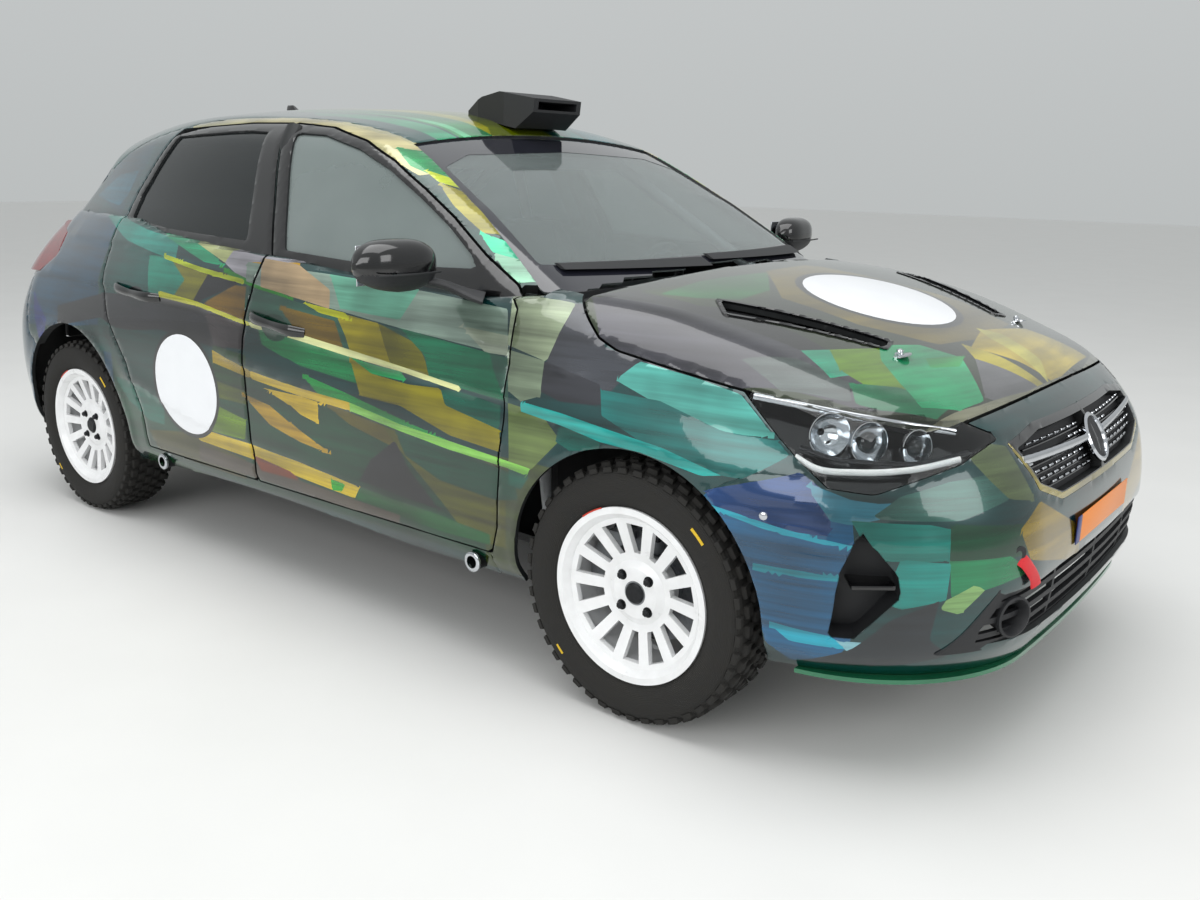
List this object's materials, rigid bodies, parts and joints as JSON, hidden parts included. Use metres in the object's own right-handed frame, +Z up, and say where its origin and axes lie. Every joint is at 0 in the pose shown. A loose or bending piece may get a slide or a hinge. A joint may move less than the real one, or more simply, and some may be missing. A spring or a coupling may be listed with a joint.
{
  "type": "five-door rally hatchback car",
  "caption": "Small rally car with opening doors, bonnet and tailgate, steered and rolling wheels, bucket seats, roll cage and a roof scoop.",
  "frame": {"origin": "on the ground under the middle of the car's length and width", "axes": "+X to the nose, +Y to the car's left, +Z up"},
  "size_m": [4.0597, 2.2, 1.516],
  "materials": {
    "body_paint": "gloss green base under a printed wrap",
    "window_glass": "clear safety glass",
    "black_plastic": "black moulded plastic",
    "lamp_lens": "clear lamp lens over a chromed housing",
    "tail_lens": "dark red lamp lens",
    "tyre_rubber": "dusty black gravel tyre",
    "rim_white": "white painted alloy",
    "floor_steel": "grey primed steel",
    "chassis_steel": "bare steel",
    "engine_iron": "cast metal",
    "cage_paint": "light grey tube",
    "seat_shell": "black cloth over a shell"
  },
  "bodies": {
    "body": {"side_frame_left": "body_paint", "side_frame_right": "body_paint", "fender_left": "body_paint", "fender_right": "body_paint", "bumper_front": "body_paint", "bumper_rear": "body_paint", "grille_upper": "black_plastic", "grille_lower": "black_plastic", "splitter": "body_paint", "headlamps": "lamp_lens", "tail_lamps": "tail_lens", "windscreen": "window_glass", "roof_panel": "body_paint", "roof_scoop": "black_plastic", "wipers": "black_plastic", "scuttle_panel": "floor_steel", "floor_pan": "floor_steel", "front_suspension": "chassis_steel", "rear_axle": "chassis_steel", "engine_block": "engine_iron", "exhaust": "chassis_steel", "roll_cage": "cage_paint", "seats": "seat_shell", "dashboard": "black_plastic", "steering_wheel": "black_plastic"},
    "door_front_left": {"door_front_left": "body_paint", "door_glass_front_left": "window_glass", "mirror_left": "black_plastic"},
    "door_rear_left": {"door_rear_left": "body_paint", "door_glass_rear_left": "window_glass"},
    "knuckle_left": {"knuckle_left": "chassis_steel"},
    "wheel_front_left": {"tyre_front_left": "tyre_rubber", "rim_front_left": "rim_white"},
    "wheel_rear_left": {"tyre_rear_left": "tyre_rubber", "rim_rear_left": "rim_white"},
    "door_front_right": {"door_front_right": "body_paint", "door_glass_front_right": "window_glass", "mirror_right": "black_plastic"},
    "door_rear_right": {"door_rear_right": "body_paint", "door_glass_rear_right": "window_glass"},
    "knuckle_right": {"knuckle_right": "chassis_steel"},
    "wheel_front_right": {"tyre_front_right": "tyre_rubber", "rim_front_right": "rim_white"},
    "wheel_rear_right": {"tyre_rear_right": "tyre_rubber", "rim_rear_right": "rim_white"},
    "bonnet": {"bonnet": "body_paint"},
    "tailgate": {"tailgate": "body_paint", "tailgate_glass": "window_glass"}
  },
  "joints": [
    {"name": "steer_left", "type": "hinge", "parent": "body", "child": "knuckle_left", "pos_m": [1.21, 0.738, 0.32], "axis": [0, 0, 1], "range_deg": [-30, 30]},
    {"name": "wheel_front_left_spin", "type": "hinge", "parent": "knuckle_left", "child": "wheel_front_left", "pos_m": [1.21, 0.755, 0.32], "axis": [0, 1, 0], "continuous": true},
    {"name": "wheel_rear_left_spin", "type": "hinge", "parent": "body", "child": "wheel_rear_left", "pos_m": [-1.328, 0.755, 0.32], "axis": [0, 1, 0], "continuous": true},
    {"name": "door_front_left_swing", "type": "hinge", "parent": "body", "child": "door_front_left", "pos_m": [0.762, 0.85, 0.6], "axis": [0, 0, -1], "range_deg": [0, 65]},
    {"name": "door_rear_left_swing", "type": "hinge", "parent": "body", "child": "door_rear_left", "pos_m": [-0.257, 0.868, 0.6], "axis": [0, 0, -1], "range_deg": [0, 65]},
    {"name": "steer_right", "type": "hinge", "parent": "body", "child": "knuckle_right", "pos_m": [1.21, -0.738, 0.32], "axis": [0, 0, 1], "range_deg": [-30, 30]},
    {"name": "wheel_front_right_spin", "type": "hinge", "parent": "knuckle_right", "child": "wheel_front_right", "pos_m": [1.21, -0.755, 0.32], "axis": [0, 1, 0], "continuous": true},
    {"name": "wheel_rear_right_spin", "type": "hinge", "parent": "body", "child": "wheel_rear_right", "pos_m": [-1.328, -0.755, 0.32], "axis": [0, 1, 0], "continuous": true},
    {"name": "door_front_right_swing", "type": "hinge", "parent": "body", "child": "door_front_right", "pos_m": [0.762, -0.85, 0.6], "axis": [0, 0, 1], "range_deg": [0, 65]},
    {"name": "door_rear_right_swing", "type": "hinge", "parent": "body", "child": "door_rear_right", "pos_m": [-0.257, -0.868, 0.6], "axis": [0, 0, 1], "range_deg": [0, 65]},
    {"name": "bonnet_lift", "type": "hinge", "parent": "body", "child": "bonnet", "pos_m": [0.925, 0, 0.945], "axis": [0, -1, 0], "range_deg": [0, 50]},
    {"name": "tailgate_lift", "type": "hinge", "parent": "body", "child": "tailgate", "pos_m": [-1.486, 0, 1.36], "axis": [0, 1, 0], "range_deg": [0, 80]}
  ],
  "couplings": [
    {"joint": "steer_right", "follows": "steer_left", "ratio": 1}
  ]
}
